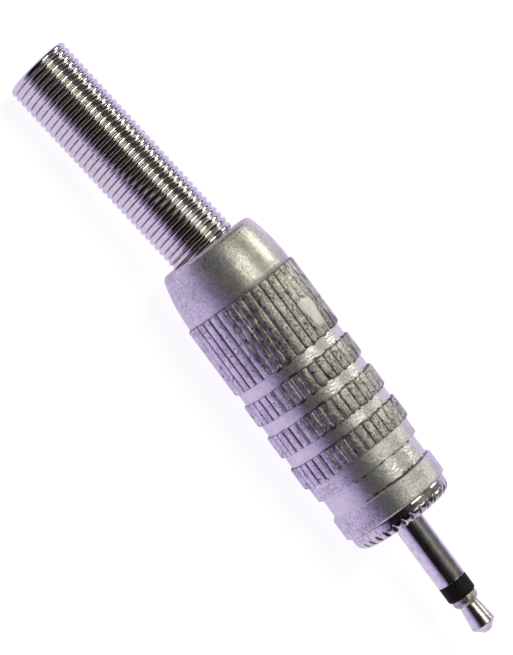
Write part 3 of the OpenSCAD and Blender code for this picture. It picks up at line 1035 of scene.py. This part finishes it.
@dataclass
class StrainSpring:
    """The close-wound strain relief spring, with its wide retaining coil inside the shell."""

    pivot: Corner = (-25.62, 0.0, 0.0)
    droop: float = 6.1035
    swing: float = 3.6
    seat: float = 0.03
    pitch: float = 0.55
    coil_r: float = 2.61
    wire_r: float = 0.265
    first_turn: float = -5.20213
    turns: float = 42.73
    flare: float = 0.48
    flare_turn: float = -3.95213
    flare_blend: float = 0.5
    steps_per_turn: int = 40
    sides: int = 14
    bend_from: float = 1.4
    bend_to: float = 20.6

    def out(self, reach: float) -> Corner:
        """Gives a point of the spring's axis in metres.

        Args:
            reach: distance behind the pivot in millimetres.

        Returns:
            The point.
        """
        swing = Matrix.Rotation(radians(self.swing), 3, "Z")
        droop = Matrix.Rotation(radians(-self.droop), 3, "Y")
        return tuple((Vector(self.pivot) + swing @ droop @ Vector((-reach, 0.0, 0.0))) * MM)

    def build(self, shop: Workshop) -> None:
        """Builds and dresses the spring.

        Args:
            shop: finishes and geometry rules.
        """
        coil = MeshShop.keep("strain_spring", bmesh.new())
        shop.winding.make(coil, {
            "First Turn": self.first_turn, "Turns": self.turns, "Pitch": self.pitch * MM,
            "Radius": self.coil_r * MM, "Flare": self.flare * MM, "Flare Turn": self.flare_turn,
            "Flare Blend": self.flare_blend, "Bar Radius": self.wire_r * MM, "Sides": self.sides,
            "Steps": int(self.turns * self.steps_per_turn),
            "Lean": (0.0, radians(-90.0 - self.droop), radians(self.swing)),
            "Place": self.out(-self.seat), "Material": shop.finishes.wire.material()})
        MeshShop.smooth(coil.data)
        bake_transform(coil)
        dress(coil, shop.finishes.wire, None, ("strain_relief_spring",))


@dataclass
class PinInsert:
    """The insert that screws into the shell: shank, toothed flange, thread, black ring and tip."""

    pin_r: float = 1.25
    bore_r: float = 0.9
    shank_front: float = 6.1
    root_front: float = -0.6
    root_back: float = -0.7
    ring_front: float = 7.6
    ring_back: float = -5.85
    ring_bore: float = 0.52
    ring_tube: float = 0.88
    collar_front: float = 8.2
    collar_r: float = 1.085
    tip_front: float = 11.0
    tip_outline: tuple[Corner, ...] = (
        (8.04, 1.085, 0.11), (8.36, 0.8, 0.2), (10.36, 1.05, 0.08), (10.8, 0.55, 0.1))
    tip_end_r: float = 0.35
    tip_segments: int = 96
    flange_r: float = 4.425
    flange_back: float = -1.3
    flange_round: float = 0.8
    round_points: int = 19
    face_radii: tuple[float, ...] = (1.1, 2.2, 3.0, 3.3, 3.45, 3.55)
    back_edge: Pair = (0.015, 0.06)
    back_radii: Pair = (3.6, 1.1)
    rim_places: Corner = (-0.84, -0.92, -1.06)
    tooth_count: int = 32
    tooth_turn: float = 8.5
    tooth_depth: float = 0.24
    tooth_shares: tuple[float, ...] = (0.36, 0.52, 0.66, 0.8, 0.92, 1.0)
    notch_width: float = 0.46
    notch_round: float = 0.03
    notch_from_r: float = 3.5
    notch_to_x: float = -1.1
    weld: float = 1e-4
    relief_r: float = 3.465
    relief_back: float = -1.8
    relief_run: float = 0.1
    thread_root: float = 3.6
    thread_depth: float = 0.2
    thread_pitch: float = 0.5
    thread_margin: float = 0.25
    thread_sides: int = 3
    steps_per_turn: int = 60
    boss_r: float = 3.815
    boss_back: float = -6.1
    boss_chamfer: Pair = (0.2, 0.35)
    stake_front: float = -6.47
    stake_back: float = -6.77
    stake_r: float = 2.35
    stake_neck_r: float = 2.1
    well_r: float = 1.6
    well_front: float = -5.87
    rod_r: float = 0.5
    rivet_back: float = -7.97
    rivet_edge: float = -7.85
    rivet_front: float = -7.67
    rivet_r: float = 0.85
    rivet_face_r: float = 0.73
    segments: int = 128

    def shank(self) -> Piece:
        """Turns the tube of the shank with the boss and the staked rim behind it.

        Returns:
            The turned piece.
        """
        chamfer_len, chamfer_r = self.boss_chamfer
        corners: list[Corner] = [
            (self.shank_front, self.bore_r, 0.0), (self.shank_front, self.pin_r, 0.03),
            (self.root_front, self.pin_r, 0.0), (self.root_back, self.relief_r, 0.0),
            (self.relief_back, self.relief_r, 0.04),
            (self.relief_back - self.relief_run, self.thread_root, 0.02),
            (self.boss_back + chamfer_len, self.thread_root, 0.05),
            (self.boss_back, self.boss_r - chamfer_r, 0.03),
            (self.boss_back, self.stake_neck_r, 0.03), (self.stake_front, self.stake_neck_r, 0.03),
            (self.stake_front, self.stake_r, 0.05), (self.stake_back, self.stake_r, 0.08),
            (self.stake_back, self.well_r, 0.03), (self.well_front, self.well_r, 0.03),
            (self.well_front, self.bore_r, 0.02)]
        return MeshShop.lathe("pin_shank", MeshShop.rounded(corners), self.segments)

    def tooth_path(self) -> list[Pair]:
        """Lays out the flange's section, from its front face round its rounded corner to its back.

        Returns:
            Place along the axis and radius of each point.
        """
        bend, outer, back = self.flange_round, self.flange_r, self.flange_back
        path = [(0.0, r) for r in self.face_radii]
        for a in np.linspace(0, pi / 2, self.round_points):
            path.append((-bend + bend * cos(a), outer - bend + bend * sin(a)))
        small, large = self.back_edge
        path += [(x, outer) for x in (*self.rim_places, back + large)]
        path += [(back + small, outer - small), (back, outer - large)]
        return path + [(back, r) for r in self.back_radii]

    def tooth(self) -> Piece:
        """Makes one tooth's sector of the flange, notched at both sides of its rounded corner.

        Returns:
            The sector, open at its two cut sides.
        """
        bend, slant = self.flange_round, sqrt(2.0)
        half = pi / self.tooth_count
        slope = self.tooth_depth / (self.notch_width / 2)
        shares = np.array(self.tooth_shares)
        turns = half * np.concatenate((-shares[::-1], (0.0,), shares))
        work = bmesh.new()
        notch = work.verts.layers.float.new("notch")
        grid = []
        for x, r in self.tooth_path():
            depth = ((x + bend) + (r - (self.flange_r - bend))) / slant
            notched = r > self.notch_from_r and x > self.notch_to_x
            row = []
            for a in turns:
                across = r * (half - abs(float(a)))
                limit = bend - self.tooth_depth + hypot(across * slope, self.notch_round)
                cut = max(0.0, depth - limit) if notched else 0.0
                row.append(MeshShop.spot(work, x - cut / slant, r - cut / slant, a))
                # The notch layer keeps each point's notch depth, which the notched finish paints as shade.
                row[-1][notch] = cut / self.tooth_depth
            grid.append(row)
        for first, second in zip(grid, grid[1:] + grid[:1]):
            MeshShop.strip(work, first, second, closed=False)
        return MeshShop.keep("toothed_flange", work)

    def ring(self) -> Piece:
        """Turns the black ring with its tube inside the shank.

        Returns:
            The turned piece.
        """
        corners: list[Corner] = [
            (self.ring_front, self.ring_bore, 0.0), (self.ring_back, self.ring_bore, 0.0),
            (self.ring_back, self.ring_tube, 0.03), (self.shank_front, self.ring_tube, 0.0),
            (self.shank_front, self.pin_r, 0.03), (self.ring_front, self.pin_r, 0.24)]
        return MeshShop.lathe("black_ring", MeshShop.rounded(corners, steps=5), self.segments)

    def tip(self) -> Piece:
        """Turns the tip with its rod and riveted end.

        Returns:
            The turned piece.
        """
        corners: list[Corner] = [
            (self.rivet_back, 0.0, 0.0), (self.rivet_back, self.rivet_face_r, 0.04),
            (self.rivet_edge, self.rivet_r, 0.04), (self.rivet_front, self.rivet_r, 0.02),
            (self.rivet_front, self.rod_r, 0.0), (self.ring_front, self.rod_r, 0.0),
            (self.ring_front, self.collar_r, 0.05), *self.tip_outline,
            (self.tip_front, self.tip_end_r, 0.06), (self.tip_front, 0.0, 0.0)]
        return MeshShop.lathe("pin_tip", MeshShop.rounded(corners, steps=5), self.tip_segments)

    def thread(self, shop: Workshop) -> Piece:
        """Winds the boss's thread.

        Args:
            shop: finishes and geometry rules.

        Returns:
            The thread.
        """
        turns = (self.relief_back - self.boss_back - 2 * self.thread_margin) / self.thread_pitch
        return shop.winding.make(MeshShop.keep("boss_thread", bmesh.new()), {
            "Turns": turns, "Pitch": self.thread_pitch * MM, "Radius": self.thread_root * MM,
            "Bar Radius": self.thread_depth * MM, "Sides": self.thread_sides,
            "Steps": int(turns * self.steps_per_turn), "Lean": (0.0, radians(90.0), 0.0),
            "Place": ((self.boss_back + self.thread_margin) * MM, 0.0, 0.0),
            "Material": shop.finishes.plated.material()})

    def build(self, shop: Workshop) -> None:
        """Builds and dresses the insert.

        Args:
            shop: finishes and geometry rules.
        """
        book = shop.finishes
        dress(self.shank(), book.plated, Body.INSERT, ("sleeve_body",))
        flange = shop.ring_of.make(self.tooth(), {
            "Count": self.tooth_count, "Phase": radians(180.0 / self.tooth_count - self.tooth_turn),
            "Weld": self.weld * MM, "Material": book.notched.material()})
        dress(flange, book.notched, Body.INSERT)
        dress(self.thread(shop), book.plated, Body.INSERT)
        dress(self.ring(), book.black, Body.INSERT, ("front_insulator",))
        tip = self.tip()
        for finish in (book.tip, book.worn):
            tip.data.materials.append(finish.material())
        for face in tip.data.polygons:
            face.material_index = int(self.ring_front + 0.01 < face.center.x / MM < self.collar_front)
        dress(tip, book.tip, Body.INSERT, ("tip_contact",))


@dataclass
class InnerTags:
    """The CAD nodes inside the shell, which keep their shape and get their finish."""

    def build(self, frame: dict[str, Any], book: FinishBook) -> None:
        """Dresses the liner, the rear insulator and the two tags.

        Args:
            frame: the loaded frame.
            book: the plug's finishes.
        """
        for node, finish in (("insulating_liner", book.liner), ("rear_insulator", book.black),
                             ("tip_lug", book.tag), ("cable_clamp", book.tag)):
            piece = frame["nodes"][node]
            piece.data.materials.clear()
            piece.data.materials.append(finish.material())
            LOG.info("%s: carried over, %s", node, finish.name)


@dataclass
class Studio:
    """Pale floor, soft light and the photograph's camera; floor, lamps and clipping are in metres."""

    camera_lean: float = 32.3
    axis_tilt: float = 2.87
    roll: float = 53.51
    distance: float = 267.6
    lens_px: float = 3396.0
    sensor: float = 24.0
    clip: Pair = (0.01, 20.0)
    aim_x: float = -19.23
    aim_v: float = 0.505
    floor_half: float = 1.5
    floor_middle: float = -0.02
    floor_near: Colour = (0.81, 0.71, 0.99)
    floor_far: Colour = (0.65, 0.53, 0.94)
    floor_fade: Pair = (0.004, 0.035)
    floor_matte: Colour = (0.36, 0.31, 0.40)
    floor_matte_seen: Colour = (0.40, 0.40, 0.43)
    glow_seen: float = 0.88
    glow_in_metal: float = 0.8
    end_walls: Colour = (0.56, 0.53, 0.48)
    end_from: Pair = (0.86, 0.96)
    wall_middle: float = 0.1
    wall_span: Pair = (0.15, 0.4)
    wall_fade: float = 0.2
    lamp_colour: Colour = (1.0, 0.99, 0.84)
    ramp: tuple[tuple[float, Colour], ...] = (
        (-180.0, (0.60, 0.50, 0.78)),
        (-138.0, (0.60, 0.53, 0.70)),
        (-112.0, (0.22, 0.20, 0.22)),
        (-90.0, (0.13, 0.12, 0.125)),
        (-68.0, (0.19, 0.185, 0.175)),
        (-52.0, (0.30, 0.295, 0.28)),
        (-38.0, (0.11, 0.11, 0.105)),
        (-18.0, (0.04, 0.038, 0.038)),
        (-6.0, (0.013, 0.012, 0.012)),
        (33.0, (0.013, 0.011, 0.013)),
        (45.0, (0.35, 0.28, 0.54)),
        (58.0, (0.56, 0.46, 0.80)),
        (180.0, (0.60, 0.50, 0.80)))
    lamps: tuple[tuple[str, float, float, float, float, float], ...] = (
        ("top_back_box", -41.0, -0.205, 0.27, 0.42, 18.0),
        ("top_front_box", -41.0, 0.42, 0.28, 0.42, 4.5),
        ("side_back_box", -97.0, -0.17, 0.27, 0.28, 28.0),
        ("side_front_box", -97.0, 0.42, 0.28, 0.28, 6.5))
    lamp_middle: float = -0.015
    lamp_reach: float = 1.0

    def sides(self) -> tuple[Vector, Vector]:
        """Gives the directions square to the axis, to the photograph's lower left and from the camera."""
        c, s = cos(radians(self.camera_lean)), sin(radians(self.camera_lean))
        return Vector((0.0, -c, -s)), Vector((0.0, s, -c))

    def camera(self) -> None:
        """Sets up the camera at the photograph's view."""
        tilt, roll = radians(self.axis_tilt), radians(self.roll)
        left_low, level = self.sides()
        away = cos(tilt) * level + sin(tilt) * ALONG
        front = cos(tilt) * ALONG - sin(tilt) * level
        right = cos(roll) * front - sin(roll) * left_low
        down = sin(roll) * front + cos(roll) * left_low
        aim = self.aim_x * ALONG + self.aim_v * left_low
        lens = bpy.data.cameras.new("photo_camera")
        lens.sensor_fit = "VERTICAL"
        lens.sensor_height = self.sensor
        lens.lens = self.lens_px * self.sensor / PHOTO_HEIGHT_PX
        lens.clip_start, lens.clip_end = self.clip
        seat = in_scene("photo_camera", lens)
        turn = Matrix((right, -down, -away)).transposed().to_4x4()
        seat.matrix_world = Matrix.Translation((aim - self.distance * away) * MM) @ turn
        bpy.context.scene.camera = seat

    def floor(self, height: float) -> None:
        """Lays the pale floor, white to the camera and pale lavender in the metal.

        Args:
            height: the floor's height in metres.
        """
        work = bmesh.new()
        bmesh.ops.create_grid(work, x_segments=1, y_segments=1, size=self.floor_half)
        ground = MeshShop.keep("floor", work)
        ground.data.transform(Matrix.Translation((self.floor_middle, 0.0, height)))
        made = bpy.data.materials.new("pale_floor")
        desk = NodeDesk.emptied(made)
        seen = desk.seen()
        glossy = desk.put("ShaderNodeLightPath").outputs["Is Glossy Ray"]
        beside = desk.sum("ABSOLUTE", desk.split(desk.place())["Y"])
        tint = desk.mix(desk.between(beside, *self.floor_fade), self.floor_near, self.floor_far)
        strength = desk.add(desk.times(seen, self.glow_seen), glossy, share=self.glow_in_metal)
        glow = desk.put("ShaderNodeEmission", {"Color": desk.mix(seen, tint, WHITE), "Strength": strength})
        colour = desk.mix(seen, self.floor_matte, self.floor_matte_seen)
        matte = desk.put("ShaderNodeBsdfDiffuse", {"Color": colour})
        both = desk.put("ShaderNodeAddShader", {0: glow.outputs[0], 1: matte.outputs[0]})
        desk.put("ShaderNodeOutputMaterial", {"Surface": both.outputs[0]})
        ground.data.materials.append(made)
        ground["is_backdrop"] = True

    def world(self) -> None:
        """Lays the studio's walls: white to the camera, with soft strips and a dark side in the metal."""
        sky = bpy.data.worlds.new("studio")
        bpy.context.scene.world = sky
        desk = NodeDesk.emptied(sky)
        left_low, level = self.sides()
        place = desk.put("ShaderNodeTexCoord").outputs["Generated"]
        toward = desk.vector("DOT_PRODUCT", place, -level, out=1)
        across = desk.vector("DOT_PRODUCT", place, left_low, out=1)
        turn = desk.between(desk.sum("ARCTAN2", across, toward), -pi, pi)
        strip = desk.put("ShaderNodeValToRGB", {0: turn})
        stops = strip.color_ramp.elements
        while len(stops) < len(self.ramp):
            stops.new(0.5)
        for stop, (angle, colour) in zip(stops, self.ramp):
            stop.position = (angle + 180.0) / 360.0
            stop.color = (*colour, 1.0)
        along = desk.split(place)["X"]
        beside = desk.sum("ABSOLUTE", desk.less(along, self.wall_middle))
        fade = desk.between(beside, *self.wall_span, 1.0, self.wall_fade)
        wires = {0: strip.outputs[0], "Scale": fade}
        faded = desk.put("ShaderNodeVectorMath", wires, operation="SCALE").outputs[0]
        ends = desk.between(desk.sum("ABSOLUTE", along), *self.end_from)
        walls = desk.mix(desk.seen(), desk.mix(ends, faded, self.end_walls), WHITE)
        glow = desk.put("ShaderNodeBackground", {"Color": walls, "Strength": 1.0})
        desk.put("ShaderNodeOutputWorld", {"Surface": glow.outputs[0]})

    def lamp(self, name: str, turn: float, along: float, wide: float, high: float, glow: float) -> None:
        """Hangs one soft box round the plug, off to the back or to the front.

        Args:
            name: the lamp's name.
            turn: angle about the axis from the camera's direction, in degrees, minus to the upper right.
            along: how far it stands off along the axis, as a share of its distance.
            wide: its length along the axis in metres.
            high: its length round the axis in metres.
            glow: its power for each square metre, in watts.
        """
        light = bpy.data.lights.new(name, "AREA")
        light.shape = "RECTANGLE"
        light.size, light.size_y = wide, high
        light.energy = glow * wide * high
        light.color = self.lamp_colour
        away = radians(self.camera_lean + turn)
        level = sqrt(1.0 - along * along)
        back = Vector((along, -level * sin(away), level * cos(away)))
        right = (ALONG - along * back).normalized()
        turned = Matrix((right, back.cross(right), back)).transposed().to_4x4()
        place = self.lamp_middle * ALONG + self.lamp_reach * back
        in_scene(name, light).matrix_world = Matrix.Translation(place) @ turned

    def build(self, height: float) -> None:
        """Builds the whole studio.

        Args:
            height: the floor's height in metres.
        """
        bpy.context.scene.view_settings.view_transform = "Standard"
        self.camera()
        self.floor(height)
        self.world()
        for lamp in self.lamps:
            self.lamp(*lamp)


def corners_of(box: Sequence[Iterable[float]]) -> list[list[float]]:
    """Turns a box into plain lists of numbers."""
    return [[float(c) for c in corner] for corner in box]


def main() -> None:
    """Builds every sub-assembly round the frame."""
    logging.basicConfig(level=logging.INFO, format="%(name)s: %(message)s")
    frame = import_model()
    cad_box = corners_of(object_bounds())
    shop = Workshop()
    Studio().build(cad_box[0][2])
    Shell().build(shop)
    StrainSpring().build(shop)
    PinInsert().build(shop)
    InnerTags().build(frame, shop.finishes)


if __name__ == "__main__":
    main()
